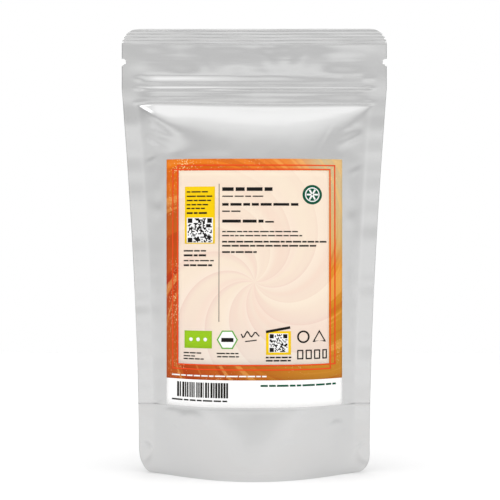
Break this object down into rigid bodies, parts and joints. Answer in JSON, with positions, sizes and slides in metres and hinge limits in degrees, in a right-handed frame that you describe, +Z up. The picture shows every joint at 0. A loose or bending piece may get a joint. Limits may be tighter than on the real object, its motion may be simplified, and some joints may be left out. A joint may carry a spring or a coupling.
{
  "type": "stand-up pouch of ground orange peel",
  "caption": "Filled stand-up pouch of silver laminate film with welded sides, a press-to-close zip, tear notches, an opened base gusset and a printed label on the front.",
  "frame": {"origin": "middle of the base, on the surface the pouch stands on", "axes": "+Z up, X across the pouch, front with the label faces -Y"},
  "size_m": [0.16, 0.062, 0.268],
  "materials": {
    "laminate_film": "satin silver laminate film with soft creases",
    "printed_label": "self-adhesive label printed in orange, ochre and cream, with a white strip at the bottom"
  },
  "bodies": {
    "root": {"pouch": "laminate_film", "label": "printed_label"}
  },
  "joints": []
}
